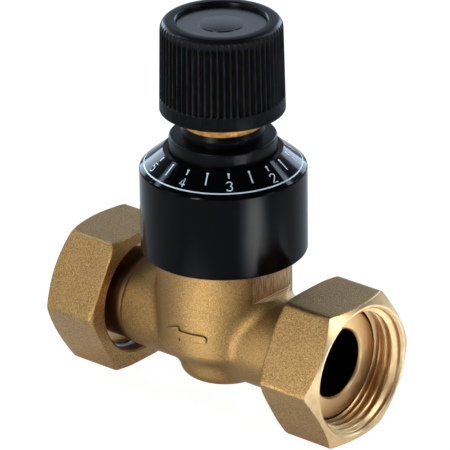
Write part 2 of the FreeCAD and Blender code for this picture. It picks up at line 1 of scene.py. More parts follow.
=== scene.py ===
# %% [markdown]
# # Differential pressure valve
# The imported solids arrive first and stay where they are. This script dresses them: it gives
# each one a procedural finish, and swaps three of them for finer meshes, because a ribbed
# grip, rounded edges and a pipe thread are quicker to shape on a grid of points. All
# coordinates are the object's own, in millimetres: X along the pipe, Z up along the spindle.

# %% Load the frame
import json
import math

import bpy
import numpy as np
from mathutils import Matrix, Vector


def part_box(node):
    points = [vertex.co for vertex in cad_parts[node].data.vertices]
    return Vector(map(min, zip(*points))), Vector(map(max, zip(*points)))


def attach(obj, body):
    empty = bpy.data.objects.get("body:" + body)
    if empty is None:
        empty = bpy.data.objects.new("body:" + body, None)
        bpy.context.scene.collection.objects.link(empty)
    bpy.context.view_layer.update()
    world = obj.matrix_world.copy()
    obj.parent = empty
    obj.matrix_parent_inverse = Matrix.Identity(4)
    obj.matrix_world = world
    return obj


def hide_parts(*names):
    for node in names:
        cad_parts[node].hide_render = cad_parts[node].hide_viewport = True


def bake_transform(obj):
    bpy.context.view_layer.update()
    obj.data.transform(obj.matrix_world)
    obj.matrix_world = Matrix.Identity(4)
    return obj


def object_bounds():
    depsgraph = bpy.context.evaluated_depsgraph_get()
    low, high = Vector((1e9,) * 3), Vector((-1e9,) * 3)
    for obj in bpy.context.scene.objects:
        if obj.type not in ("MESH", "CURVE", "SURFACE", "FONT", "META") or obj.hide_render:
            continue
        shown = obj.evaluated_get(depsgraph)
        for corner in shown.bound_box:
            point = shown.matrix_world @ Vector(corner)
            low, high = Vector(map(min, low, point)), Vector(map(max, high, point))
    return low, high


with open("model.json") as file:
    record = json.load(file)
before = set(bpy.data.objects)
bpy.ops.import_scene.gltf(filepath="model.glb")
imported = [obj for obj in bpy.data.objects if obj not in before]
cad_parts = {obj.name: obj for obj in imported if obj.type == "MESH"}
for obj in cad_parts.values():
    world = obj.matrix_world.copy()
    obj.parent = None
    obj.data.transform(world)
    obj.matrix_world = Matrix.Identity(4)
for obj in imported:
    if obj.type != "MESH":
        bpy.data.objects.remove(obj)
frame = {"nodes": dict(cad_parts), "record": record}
nodes = frame["nodes"]
cad_box = [list(map(float, corner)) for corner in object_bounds()]
MM = 0.001
print("nodes:", len(nodes), "box:", cad_box)

# %% [markdown]
# ## Shader arithmetic
# A finish is easier to read as arithmetic than as a page of nodes. `Wire` wraps one socket
# and answers to the usual operators, so `1 - mask` makes a Math node by itself. `Finish`
# makes every other node: its settings go in first, then the values or wires of its sockets.

# %% Wire and Finish
class Wire:
    """An output socket that takes part in ordinary arithmetic."""

    def __init__(self, finish, socket):
        self.finish = finish
        self.socket = socket

    def math(self, operation, first, second=0.0):
        return self.finish.add("ShaderNodeMath", {"operation": operation}, {0: first, 1: second})

    def __add__(self, other):
        return self.math("ADD", self, other)

    def __radd__(self, other):
        return self.math("ADD", other, self)

    def __sub__(self, other):
        return self.math("SUBTRACT", self, other)

    def __rsub__(self, other):
        return self.math("SUBTRACT", other, self)

    def __mul__(self, other):
        return self.math("MULTIPLY", self, other)

    def __rmul__(self, other):
        return self.math("MULTIPLY", other, self)

    def __abs__(self):
        return self.math("ABSOLUTE", self)

    def sine(self):
        return self.math("SINE", self)

    def root(self):
        return self.math("SQRT", self)

    def step(self, low, high):
        """0 below low, 1 above high, and smooth between."""
        settings = {"interpolation_type": "SMOOTHSTEP", "clamp": True}
        sockets = {"Value": self, "From Min": low, "From Max": high}
        return self.finish.add("ShaderNodeMapRange", settings, sockets)

    def within(self, low, high, blur):
        """1 from low to high and 0 outside, with a smooth rise and fall of width blur."""
        return self.step(low, low + blur) - self.step(high - blur, high)

    def under(self, low, high):
        """1 below low, 0 above high, and smooth between."""
        return 1 - self.step(low, high)


class Finish:
    """A material under construction."""

    def __init__(self, name):
        self.material = bpy.data.materials.new(name)
        self.material.use_nodes = True
        self.tree = self.material.node_tree
        self.tree.nodes.clear()
        self.place = self.add("ShaderNodeTexCoord", {}, {}, "Object")
        millimetres = {0: self.place, "Scale": 1 / MM}
        self.place = self.add("ShaderNodeVectorMath", {"operation": "SCALE"}, millimetres)

    def add(self, kind, settings, sockets, out=0):
        node = self.tree.nodes.new(kind)
        for key, value in settings.items():
            setattr(node, key, value)
        for key, value in sockets.items():
            if isinstance(value, Wire):
                self.tree.links.new(value.socket, node.inputs[key])
            else:
                node.inputs[key].default_value = value
        return Wire(self, node.outputs[out])

    def axes(self):
        """X, Y and Z of the point being shaded, in millimetres."""
        return [self.add("ShaderNodeSeparateXYZ", {}, {0: self.place}, axis) for axis in "XYZ"]

    def noise(self, scale, detail=2.0, roughness=0.5, stretch=(1, 1, 1)):
        """Noise of about one blob per 1/scale millimetres."""
        place = self.place
        if stretch != (1, 1, 1):
            sockets = {0: place, 1: stretch}
            place = self.add("ShaderNodeVectorMath", {"operation": "MULTIPLY"}, sockets)
        sockets = {"Vector": place, "Scale": scale, "Detail": detail, "Roughness": roughness}
        return self.add("ShaderNodeTexNoise", {}, sockets)

    def blend(self, share, first, second):
        """Mix of two colours, each a tuple or a wire."""
        sockets = {0: share, 6: first, 7: second}
        return self.add("ShaderNodeMix", {"data_type": "RGBA"}, sockets, 2)

    def bump(self, height, depth_mm, normal=None):
        sockets = {"Height": height, "Distance": depth_mm * MM}
        if normal:
            sockets["Normal"] = normal
        return self.add("ShaderNodeBump", {}, sockets)

    def soft_edges(self, radius_mm):
        """The surface normal with each sharp edge rounded to a radius."""
        return self.add("ShaderNodeBevel", {"samples": 6}, {"Radius": radius_mm * MM})

    def creases(self, reach_mm):
        """0 deep in a crease, 1 on an open surface, from what stands within reach."""
        settings = {"samples": 8, "only_local": True}
        return self.add("ShaderNodeAmbientOcclusion", settings, {"Distance": reach_mm * MM}, "AO")

    def surface(self, **sockets):
        """The main shader; an underscore in a name stands for a space."""
        named = {key.replace("_", " "): value for key, value in sockets.items()}
        shader = self.add("ShaderNodeBsdfPrincipled", {}, named)
        self.add_output(shader)
        return self.material

    def add_output(self, shader):
        output = self.tree.nodes.new("ShaderNodeOutputMaterial")
        self.tree.links.new(shader.socket, output.inputs["Surface"])


def seen(red, green, blue):
    """The linear colour, with alpha, of an sRGB colour from 0 to 255."""
    def linear(level):
        share = level / 255
        return share / 12.92 if share <= 0.04045 else ((share + 0.055) / 1.055) ** 2.4
    return (linear(red), linear(green), linear(blue), 1.0)


print("brass grey-brown in linear light:", [round(c, 3) for c in seen(160, 130, 85)])

# %% [markdown]
# ## Brass
# The body and the nuts' flats were blasted with shot: a dull, grainy brass whose dents are
# a few tenths of a millimetre wide. Noise at that scale drives bump and colour together, so
# the bottoms of the dents stay darker. Bores and end faces were turned afterwards, which
# leaves light smooth metal with faint concentric rings. Deep in the bores, inside the nuts
# and under them, the brass is painted darker as shade.

# %% Brass finishes
def blasted_brass(name, light, dark, grain_depth):
    finish = Finish(name)
    grain = finish.noise(2.6, 4.0, 0.7)
    patches = finish.noise(0.16, 2.0)
    tone = (grain + (patches - 0.5) * 0.10).step(0.30, 0.72)
    colour = finish.blend(tone, dark, light)
    height = grain + 0.5 * finish.noise(1.1, 1.0)
    return finish.surface(
        Base_Color=colour, Metallic=1.0, Roughness=0.36 + 0.12 * (1 - tone),
        Normal=finish.bump(height, grain_depth, normal=finish.soft_edges(0.7)),
    )


tool_rings_per_mm = 42.0


def turned_brass(name, light, dark, about):
    """Turned metal with rings about the pipe axis "X" or the spindle axis "Z"."""
    finish = Finish(name)
    x, y, z = finish.axes()
    off_axis = (y * y + z * z).root() if about == "X" else (x * x + y * y).root()
    along = x if about == "X" else z
    rings = ((off_axis + along) * tool_rings_per_mm).sine()
    wobble = finish.noise(0.5, 3.0)
    tone = (wobble * 1.1 + rings * 0.06).step(0.25, 0.85)
    colour = finish.blend(tone, dark, light)
    return finish.surface(
        Base_Color=colour, Metallic=1.0, Roughness=0.32 + 0.08 * wobble,
        Normal=finish.bump(rings, 0.002),
    )


waterway_radius, spigot_end = 9.2, 36.5
milled_flat, milled_ledge, ledge_end = 15.7, 13.2, 20.0
collar_start, nut_rear = 25.7, 33.4
edge_radius = 0.35


def valve_body_brass():
    """Blasted outside, milled flats and turned spigots, in one finish split by place."""
    finish = Finish("cast_brass_body")
    x, y, z = finish.axes()
    reach = abs(x)
    off_pipe = (y * y + z * z).root()
    bore = off_pipe.under(waterway_radius - 0.1, waterway_radius + 0.1)
    bore = bore * reach.under(spigot_end - 0.2, spigot_end + 0.3)
    past_flat = reach.step(milled_flat - 0.1, milled_flat - 0.04)
    flat = reach.within(milled_flat - 0.1, milled_flat + 0.1, 0.06)
    flat = flat * z.step(milled_ledge + 0.05, milled_ledge + 0.15)
    level = abs(z - milled_ledge).under(0.03, 0.06)
    ledge = level * past_flat * reach.under(ledge_end, ledge_end + 0.1)
    # Partly a painted highlight: the ledge and the flat are both milled brass, but the upward-facing
    # ledge takes the full light milled colour and the flat only half, for the light on the ledge.
    milled = flat * 0.5 + ledge
    turned = reach.step(collar_start - 0.1, collar_start + 0.1)

    grain = finish.noise(3.6, 4.0, 0.7)
    patches = finish.noise(0.13, 2.0)
    tone = (grain + (patches - 0.5) * 0.12).step(0.30, 0.72)
    cast = finish.blend(tone, seen(118, 92, 54), seen(178, 144, 92))
    upright_strokes = finish.noise(1.4, 3.0, stretch=(1, 2, 0.2))
    level_strokes = finish.noise(1.0, 2.0, stretch=(3, 0.15, 1))
    strokes = upright_strokes * (1 - ledge) + level_strokes * ledge
    cut = finish.blend(strokes.step(0.40, 0.60), seen(176, 138, 94), seen(250, 220, 178))
    # Painted shade: the turned spigot is darkened inside the nut's rear opening.
    painted_shade_under_nut = reach.step(collar_start - 0.1, 27.5) * reach.under(nut_rear - 0.1, nut_rear + 0.1)
    spigot = finish.blend(painted_shade_under_nut, seen(232, 196, 142), seen(112, 78, 40))
    colour = finish.blend(turned, finish.blend(milled, cast, cut), spigot)
    # Painted shade: the waterway bore is drawn in a darker brass than the outside.
    shaded = finish.blend(tone, seen(58, 40, 20), seen(92, 66, 38))
    colour = finish.blend(bore, colour, shaded)
    # Painted shade: creases on the body below about 11 mm are darkened by an occlusion mask.
    crease = finish.creases(0.9).under(0.40, 0.90) * z.under(11.0, 12.0)
    colour = finish.blend(crease * (1 - bore) * (1 - turned), colour, seen(70, 50, 26))

    rings = ((off_pipe + x) * tool_rings_per_mm).sine()
    height = grain * (1 - turned) * (1 - milled * 0.8) + rings * turned * 0.04
    dull = (0.44 + 0.10 * (1 - tone)) * (1 - turned) + turned * 0.34
    return finish.surface(
        Base_Color=colour, Metallic=1.0 - 0.35 * ledge, Roughness=dull,
        Normal=finish.bump(height, 0.08, normal=finish.soft_edges(edge_radius)),
    )


nut_flats = blasted_brass("blasted_brass_nut", seen(196, 160, 104), seen(128, 100, 60), 0.12)
nut_turned = turned_brass("turned_brass_nut", seen(250, 220, 170), seen(236, 200, 146), "X")
# Painted shade: a darker copy of the turned brass for the nut's inside behind the thread.
nut_inside_painted_shade = turned_brass("shaded_brass_nut_bore", seen(150, 104, 56), seen(104, 70, 34), "X")
hub_brass = turned_brass("turned_brass_spindle_parts", seen(206, 158, 88), seen(128, 92, 46), "Z")
body_brass = valve_body_brass()
print("brass finishes:", nut_flats.name, nut_turned.name, hub_brass.name, body_brass.name)

# %% [markdown]
# ## Blacks, steel and the soft pieces
# The sleeve is black and finely turned, the ring nut is glossy, and the knob is moulded.
# Black pieces get their look from what they mirror, so their own colour stays near nothing
# and the roughness carries the difference.

# %% Black, steel and rubber finishes
cone_top, cone_foot = (15.4, 50.0), (21.5, 44.9)


def sleeve_black():
    finish = Finish("black_turned_sleeve")
    z = finish.axes()[2]
    cone = z.step(cone_foot[1] - 0.3, cone_foot[1] + 0.1)
    rings = (z * 55.0).sine()
    wobble = finish.noise(1.2, 2.0, stretch=(0.3, 0.3, 6.0))
    colour = finish.blend(wobble, seen(2, 2, 3), seen(5, 6, 8))
    return finish.surface(
        Base_Color=colour, Metallic=0.0, Roughness=0.16 - 0.08 * cone + 0.03 * wobble,
        Specular_IOR_Level=0.06, Normal=finish.bump(rings * 0.4 + wobble, 0.0015),
    )


def smooth_black(name, dark, light, roughness, specular):
    finish = Finish(name)
    wobble = finish.noise(0.7, 3.0)
    colour = finish.blend(wobble, dark, light)
    return finish.surface(
        Base_Color=colour, Roughness=roughness + 0.08 * wobble, Specular_IOR_Level=specular,
        Normal=finish.bump(finish.noise(2.5, 2.0), 0.004),
    )


knob_low, knob_high = (corner.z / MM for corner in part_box("knob"))
skirt_radius, shoulder_radius = 16.1, 15.6
knob_taper = (skirt_radius - shoulder_radius) / (knob_high - knob_low)
band_top = knob_low + 3.7


def knob_black():
    """Moulded grip: glossy shoulder and rib crests, and grooves that mirror nothing and get a darker
    black as painted shade.
    """
    finish = Finish("black_moulded_knob")
    x, y, z = finish.axes()
    shoulder = z.step(knob_high - 3.1, knob_high - 1.7)
    grain = finish.noise(6.0, 2.0)
    depth = skirt_radius - (z - knob_low) * knob_taper - (x * x + y * y).root()
    ribbed = 0.2 + 0.8 * z.step(band_top - 0.2, band_top + 0.4)
    worn = finish.noise(1.6, 2.0, stretch=(1, 1, 0.12)).step(0.35, 0.65)
    crest = (1 - depth.step(0.04, 0.26) * (1 - shoulder)) * ribbed
    # Painted shade: the grooves get a darker black than the crests.
    colour = finish.blend(crest, seen(1, 1, 1), seen(12, 13, 16))
    sheen = crest * (0.10 + 0.30 * worn * (1 - shoulder) + 0.12 * shoulder)
    return finish.surface(
        Base_Color=colour, Roughness=0.50 - 0.22 * crest, Specular_IOR_Level=0.04,
        Coat_Weight=sheen, Coat_Roughness=0.30, Normal=finish.bump(grain, 0.003),
    )


def plain_metal(name, light, dark, roughness):
    finish = Finish(name)
    drawn = finish.noise(2.0, 3.0, stretch=(4, 1, 1))
    colour = finish.blend(drawn, dark, light)
    return finish.surface(
        Base_Color=colour, Metallic=1.0, Roughness=roughness + 0.15 * drawn,
        Normal=finish.bump(drawn, 0.005),
    )


def soft_piece(name, light, dark, roughness):
    finish = Finish(name)
    grain = finish.noise(4.0, 3.0)
    colour = finish.blend(grain, dark, light)
    return finish.surface(
        Base_Color=colour, Roughness=roughness + 0.1 * grain, Normal=finish.bump(grain, 0.01),
    )


black_sleeve = sleeve_black()
gloss_black = smooth_black("gloss_black_ring_nut", seen(2, 2, 3), seen(6, 6, 8), 0.30, 0.09)
black_knob = knob_black()
cap_black = smooth_black("black_moulded_cap", seen(4, 5, 7), seen(9, 11, 15), 0.22, 1.0)
ring_steel = plain_metal("steel_ring_wire", seen(205, 203, 198), seen(150, 148, 145), 0.22)
spring_steel = plain_metal("steel_spring_wire", seen(190, 190, 190), seen(140, 140, 142), 0.25)
rubber = soft_piece("seal_rubber_black", seen(30, 30, 31), seen(16, 16, 17), 0.55)
slip_plastic = soft_piece("slip_washer_white", seen(235, 234, 228), seen(214, 212, 204), 0.35)
gasket_fibre = soft_piece("gasket_fibre_green", seen(98, 122, 104), seen(70, 92, 78), 0.7)
print("other finishes:", len(bpy.data.materials) - 4)

# %% [markdown]
# Each solid that stays gets its finish here, by the name of its material slot in the record.
# The mesh itself isn't touched.

# %% Dress the solids that stay
finish_of_slot = {
    "cast_brass": body_brass, "nut_brass": nut_flats, "turned_brass": hub_brass,
    "ring_steel": ring_steel, "spring_steel": spring_steel, "black_sleeve": black_sleeve,
    "gloss_black_ring": gloss_black, "black_knob": black_knob, "knob_cap": cap_black,
    "seal_rubber": rubber, "slip_washer": slip_plastic, "fibre_gasket": gasket_fibre,
}
slot_of_node = {part["node"]: part["material_slot"] for part in frame["record"]["subparts"]}
for name, node in nodes.items():
    node.data.materials.clear()
    node.data.materials.append(finish_of_slot[slot_of_node[name]])
print("dressed:", len(slot_of_node))

# %% [markdown]
# ## The setting spring
# The spring stands between the disc and the carrier. Its mesh is copied from the solid into
# an object of its own, left where it stands, and the solid is hidden.

# %% Setting spring
mesh = nodes["setting_spring"].data.copy()
mesh.transform(nodes["setting_spring"].matrix_world)
spring = bpy.data.objects.new("squeezed_spring", mesh)
bpy.context.scene.collection.objects.link(spring)
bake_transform(spring)
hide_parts("setting_spring")

# %% [markdown]
# ## Grids of points
# A turned or hexagonal piece is a loop of rings. Each ring is one row of points around an
# axis, and neighbouring rings are joined by quads. Where rings sit close together an edge
# comes out rounded, so the rows are spaced one by one where the light catches an edge.

# %% Helpers for ring meshes
def ring_mesh(name, rings, finishes, finish_of_row, body, sharp_degrees=38):
    """Mesh from an array of rings (row, column, xyz), closed around and from last row to first."""
    rows, columns = rings.shape[:2]
    index = np.arange(rows * columns).reshape(rows, columns)
    below, above = index, np.roll(index, -1, axis=0)
    quads = np.stack([below, np.roll(below, -1, 1), np.roll(above, -1, 1), above], axis=-1)
    mesh = bpy.data.meshes.new(name)
    mesh.from_pydata((rings.reshape(-1, 3) * MM).tolist(), [], quads.reshape(-1, 4).tolist())
    for finish in finishes:
        mesh.materials.append(finish)
    finish_of_row = [np.broadcast_to(finish, columns) for finish in finish_of_row]
    mesh.polygons.foreach_set("material_index", np.concatenate(finish_of_row).astype(np.int32))
    mesh.shade_smooth()
    mesh.set_sharp_from_angle(angle=math.radians(sharp_degrees))
    piece = bpy.data.objects.new(name, mesh)
    bpy.context.scene.collection.objects.link(piece)
    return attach(piece, body)


def smooth_rise(share):
    """0 below 0, 1 above 1, and smooth between."""
    share = np.clip(share, 0, 1)
    return share ** 2 * (3 - 2 * share)


def spaced(start, end, count):
    """count values from start to end, without the end."""
    return list(np.linspace(start, end, count, endpoint=False))


def rounded_path(corners, arc_steps=6):
    """Points of a closed path through (u, v, rounding) corners."""
    points = []
    for i, (u, v, rounding) in enumerate(corners):
        here = np.array([u, v], float)
        back = np.array(corners[i - 1][:2], float) - here
        ahead = np.array(corners[(i + 1) % len(corners)][:2], float) - here
        back, ahead = back / np.linalg.norm(back), ahead / np.linalg.norm(ahead)
        half = math.acos(float(np.clip(back @ ahead, -1, 1))) / 2
        inset = rounding / math.tan(half)
        start, end = here + back * inset, here + ahead * inset
        if rounding:
            for t in np.linspace(0, 1, arc_steps):
                points.append((1 - t) ** 2 * start + 2 * t * (1 - t) * here + t ** 2 * end)
        else:
            points.append(here)
    return np.array(points)


def subdivided(path, longest, low=-1e9, high=1e9, least_radius=0.0):
    """The closed path with no run over longest from low to high and outside a radius."""
    points = []
    for start, end in zip(path, np.roll(path, -1, axis=0)):
        inside = min(start[1], end[1]) < high and max(start[1], end[1]) > low
        inside = inside and min(start[0], end[0]) > least_radius
        runs = max(1, math.ceil(np.linalg.norm(end - start) / longest)) if inside else 1
        points += [start + (end - start) * k / runs for k in range(runs)]
    return np.array(points)


# %% [markdown]
# ## The knob
# A moulded grip with sixty ribs, a plain band below and a rounded shoulder above. The
# outline is swept around the spindle axis and the grooves are pressed in by arithmetic: at
# each point the radius is the smaller of the outline and the groove floor. The grooves run
# straight up, so they leave the rounded shoulder in a row of scallops, as on the real one.

# %% Knob
rib_count, columns_per_rib = 60, 10
groove_depth, groove_share = 0.55, 0.72
recess_radius, cover_seat = 11.6, knob_high - 2.8
clip_radius, clip_floor = 8.65, cover_seat - 1.9
screw_radius, square_half = 3.9, 2.85
square_foot, square_top = knob_low + 6.85, knob_low + 16.55
boss_radius, hollow_radius, hollow_top = 7.4, 13.0, knob_low + 13.95
knob_corners = [
    (hollow_radius, knob_low, 0), (skirt_radius, knob_low, 0.4), (shoulder_radius, knob_high, 2.6),
    (recess_radius, knob_high, 0.7), (recess_radius, cover_seat, 0), (clip_radius, cover_seat, 0),
    (clip_radius, clip_floor, 0), (screw_radius, clip_floor, 0), (screw_radius, square_top, 0),
    (square_half, square_top, 0), (square_half, square_foot, 0), (boss_radius, square_foot, 0),
    (boss_radius, hollow_top, 0), (hollow_radius, hollow_top, 0),
]


def knob_rings():
    path = rounded_path(knob_corners, 10)
    path = subdivided(path, 0.22, band_top - 0.6, band_top + 1.4, least_radius=14.0)
    path = subdivided(path, 2.5)
    angle = np.linspace(0, 2 * math.pi, rib_count * columns_per_rib, endpoint=False)
    across = np.abs(np.mod(angle * rib_count / (2 * math.pi), 1.0) * 2 - 1)
    groove = smooth_rise((1 - across) / groove_share)
    radius, height = path[:, :1], path[:, 1:]
    side = skirt_radius - (height - knob_low) * knob_taper
    foot = np.clip((height - band_top) / 0.5, 0, 1)
    outer = np.minimum(radius, side - groove_depth * groove[None, :] * foot)
    square = square_half / np.maximum(np.abs(np.cos(angle)), np.abs(np.sin(angle)))[None, :]
    past_corner = screw_radius + 0.1
    outer = np.where(np.abs(radius - square_half) < 0.01, np.minimum(square, past_corner), outer)
    at_step = (radius == screw_radius) & (height < square_top + 0.05)
    outer = np.where(at_step, np.maximum(outer, past_corner), outer)
    height = np.broadcast_to(height, outer.shape)
    return np.stack([outer * np.cos(angle), outer * np.sin(angle), height], axis=-1)


rings = knob_rings()
knob = ring_mesh("knob_grip", rings, [black_knob], [0] * len(rings), "knob_set")
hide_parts("knob")
print("knob grip:", len(knob.data.polygons), "quads")

# %% [markdown]
# ## The union nuts
# A hexagon nut turned at both ends. Its outside is the smallest of several simple surfaces:
# six flats, the wide front cone and a small rear one. A soft minimum rounds the edges where
# two of them meet, as tumbling does. Inside sits a real helical pipe thread, eleven turns to
# the inch, which runs in from a countersunk mouth.

# %% Union nut
nut_reach_low, nut_reach_high = (corner.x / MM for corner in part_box("inlet_union_nut"))
flat_reach = 18.5
corner_reach = flat_reach / math.cos(math.radians(30))
thread_pitch = 25.4 / 11
thread_root, thread_crest = 16.62, 15.2
face_radius, mouth_radius, rear_mouth = 17.7, 17.15, 15.55
front_cone = math.tan(math.radians(30))
cone_start, thread_start = 42.2, 37.8
neck_radius, groove_radius, groove_ends = 15.05, 16.2, (33.55, 31.45)
edge_width = 0.42
sides, columns_per_side = 6, 66


def softest(candidates, width):
    """Soft minimum over the first axis; width is how far an edge is rounded."""
    lowest = candidates.min(axis=0)
    return lowest - width * np.log(np.exp(-(candidates - lowest) / width).sum(axis=0))


def nut_outside(angle, reach):
    """Radius of the nut's outside at an angle and a distance along the pipe."""
    turns = np.radians(np.arange(0, 360, 60)) + math.pi / 2
    facing = np.cos(angle[None, :] - turns[:, None])
    away = 3 * corner_reach
    flats = np.where(facing > 0.3, flat_reach / np.maximum(facing, 0.3), away)
    rear = np.full((1, len(angle)), corner_reach - 1.5 + (reach - nut_reach_low) * 1.9)
    forged = softest(np.concatenate([flats, rear]), edge_width)
    front = np.full(len(angle), face_radius + (nut_reach_high - reach) / front_cone)
    return softest(np.stack([forged, front]), 0.05), front < forged + 0.02


def nut_thread(angle, reach):
    """Radius of the threaded bore, running out at both ends."""
    turn = np.mod(reach / thread_pitch + angle / (2 * math.pi), 1.0)
    ridge = 1 - smooth_rise((np.abs(2 * turn - 1) - 0.14) / 0.72)
    mouth = np.clip(nut_reach_high - 1.3 - reach, 0, 1)
    back = np.clip((reach - thread_start - 0.1) / 0.6, 0, 1)
    return thread_root - (thread_root - thread_crest) * ridge * mouth * back


def nut_rings():
    """Rings around the pipe axis: outside, front face, thread, lip, groove, rear face."""
    share = (np.arange(sides * columns_per_side) % columns_per_side) / columns_per_side * 2 - 1
    side = np.arange(sides * columns_per_side) // columns_per_side
    angle = np.radians(60 * side) + math.pi / 2 + np.radians(30) * np.sin(share * math.pi / 2)
    rows, finish_rows = [], []

    def row(reach, radius, turned):
        radius = np.broadcast_to(np.asarray(radius, float), angle.shape)
        along = np.full(angle.shape, reach)
        rows.append(np.stack([along, radius * np.cos(angle), radius * np.sin(angle)], axis=-1))
        finish_rows.append(np.broadcast_to(np.asarray(turned, int), angle.shape))

    edge_end = nut_reach_low + 1.6
    for reach in spaced(nut_reach_low, edge_end, 14) + spaced(edge_end, cone_start, 8):
        row(reach, nut_outside(angle, reach)[0], 0)
    for reach in spaced(cone_start, nut_reach_high, 26):
        row(reach, *nut_outside(angle, reach))
    rim = nut_outside(angle, nut_reach_high)[0]
    for k in spaced(0, 1, 5):
        row(nut_reach_high, rim + (mouth_radius - rim) * k, 1)
    for reach in spaced(nut_reach_high, nut_reach_high - 0.5, 3):
        row(reach, mouth_radius - (nut_reach_high - reach), 1)
    for reach in spaced(nut_reach_high - 0.5, thread_start, 70):
        row(reach, nut_thread(angle, reach), 1)
    row(thread_start, thread_root, 1)
    # The neck and groove rows behind the thread take the darker finish, as painted shade.
    row(thread_start - 0.8, neck_radius, 2)
    for reach, radii in zip(groove_ends, [(neck_radius, groove_radius), (groove_radius, neck_radius)]):
        row(reach, radii[0], 2)
        row(reach, radii[1], 2)
    row(nut_reach_low + 0.5, neck_radius, 2)
    row(nut_reach_low, rear_mouth, 0)
    rear = nut_outside(angle, nut_reach_low)[0]
    for k in spaced(0.25, 1, 3):
        row(nut_reach_low, rear_mouth + (rear - rear_mouth) * k, 0)
    return np.array(rows), finish_rows


rings, finish_rows = nut_rings()
nut_finishes = [nut_flats, nut_turned, nut_inside_painted_shade]
half_turn = np.array([-1, -1, 1])
for end, turned_rings in [("inlet", rings), ("outlet", rings * half_turn)]:
    nut = ring_mesh(
        end + "_nut_hexagon", turned_rings, nut_finishes, finish_rows, end + "_nut", 30,
    )
    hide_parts(end + "_union_nut")
print("each nut:", len(nut.data.polygons), "quads")

# %% [markdown]
# ## The scale
# The ring line, ticks and numerals are engraved and filled with pale paint. Here each one
# is a ribbon: a thin raised strip that follows a line drawn on the cone. A line on the cone
# is a list of (angle, distance down the slope), and its digits are single strokes, as an
# engraving cutter would leave them.

# %% Scale strokes
scale_paint = soft_piece("scale_paint_pale", seen(214, 232, 238), seen(196, 218, 226), 0.4)
slope_length = math.dist(cone_top, cone_foot)
out_step = (cone_foot[0] - cone_top[0]) / slope_length
down_step = (cone_top[1] - cone_foot[1]) / slope_length
camera_azimuth = math.radians(-49.83)
degrees_per_unit = 37.8
angle_of_three = 4.6
ribbon_height, ribbon_root = 0.03, -0.02
line_radius, line_width = 20.25, 0.36
digit_slope, digit_width = 4.25, 0.27
whole_tick_end, half_tick_end = 2.1, 4.1


def on_cone(angle, slope, lift):
    radius = cone_top[0] + slope * out_step + lift * down_step
    height = cone_top[1] - slope * down_step + lift * out_step
    return radius * math.cos(angle), radius * math.sin(angle), height


def ribbon(points, widths, middle_angle, middle_slope, vertices, faces, closed=False):
    """Adds a strip with the given widths through (across, down) points, in mm, to the lists."""
    points, widths = np.array(points, float), np.broadcast_to(widths, len(points))
    if closed:
        ahead = np.roll(points, -1, 0) - np.roll(points, 1, 0)
    else:
        ahead = np.gradient(points, axis=0)
    ahead /= np.linalg.norm(ahead, axis=1)[:, None]
    left = np.stack([-ahead[:, 1], ahead[:, 0]], axis=1)
    first = len(vertices)
    for point, half, side in zip(points, widths / 2, left):
        for sign, lift in ((1, ribbon_height), (-1, ribbon_height), (-1, ribbon_root), (1, ribbon_root)):
            across, down = point + sign * side * half
            slope = middle_slope + down
            radius = cone_top[0] + slope * out_step
            vertices.append(on_cone(middle_angle + across / radius, slope, lift))
    count = len(points)
    for i in range(count if closed else count - 1):
        a, b = first + 4 * i, first + 4 * ((i + 1) % count)
        for k in range(4):
            faces.append((a + k, a + (k + 1) % 4, b + (k + 1) % 4, b + k))
    if not closed:
        last = first + 4 * (count - 1)
        faces.append((first + 3, first + 2, first + 1, first))
        faces.append((last, last + 1, last + 2, last + 3))


def arc(centre_x, centre_y, radius_x, radius_y, start, end, steps=10):
    angles = np.radians(np.linspace(start, end, steps))
    return [(centre_x + radius_x * math.cos(a), centre_y + radius_y * math.sin(a)) for a in angles]


digit_strokes = {
    "1": [[(-0.35, -0.75), (0.1, -1.25), (0.1, 1.25)]],
    "2": [arc(0, -0.6, 0.72, 0.65, 185, 385, 14) + [(-0.75, 1.25), (0.75, 1.25)]],
    "3": [
        arc(-0.05, -0.62, 0.68, 0.62, 200, 430, 14) + arc(-0.05, 0.62, 0.74, 0.64, 285, 520, 16),
    ],
    "4": [[(0.25, 1.25), (0.25, -1.25), (-0.8, 0.6), (0.8, 0.6)]],
    "5": [
        [(0.62, -1.25), (-0.5, -1.25), (-0.62, -0.1)] + arc(-0.05, 0.4, 0.75, 0.82, 215, 500, 18),
    ],
}


def scale_mesh():
    vertices, faces = [], []
    around = np.linspace(0, 2 * math.pi, 360, endpoint=False)
    line_slope = (line_radius - cone_top[0]) / out_step
    circle = [(angle * line_radius, 0) for angle in around]
    ribbon(circle, line_width, 0.0, line_slope, vertices, faces, closed=True)
    for half_steps in range(1, 11):
        value = half_steps / 2
        angle = camera_azimuth + math.radians(angle_of_three + (3 - value) * degrees_per_unit)
        whole = half_steps % 2 == 0
        foot = whole_tick_end if whole else half_tick_end
        tick = [(0, 0.55), (0, 0.8), (0, 1.1), (0, foot - 0.1), (0, foot)]
        ribbon(tick, [0.3, 0.72, 0.34, 0.34, 0.3], angle, 0, vertices, faces)
        if whole:
            for stroke in digit_strokes[str(int(value))]:
                ribbon(stroke, digit_width, angle, digit_slope, vertices, faces)
    return vertices, faces


vertices, faces = scale_mesh()
mesh = bpy.data.meshes.new("scale_marks")
mesh.from_pydata((np.array(vertices) * MM).tolist(), [], faces)
mesh.materials.append(scale_paint)
scale_marks = bpy.data.objects.new("scale_marks", mesh)
bpy.context.scene.collection.objects.link(scale_marks)
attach(scale_marks, "valve")
print("scale marks:", len(faces), "faces")

# %% [markdown]
# ## Floor, light and camera
# The floor is pale and keeps a faint shadow. A share of plain glow makes it white to the
# eye, and a smaller share of it reaches what mirrors the floor, so that black pieces stay
# black.

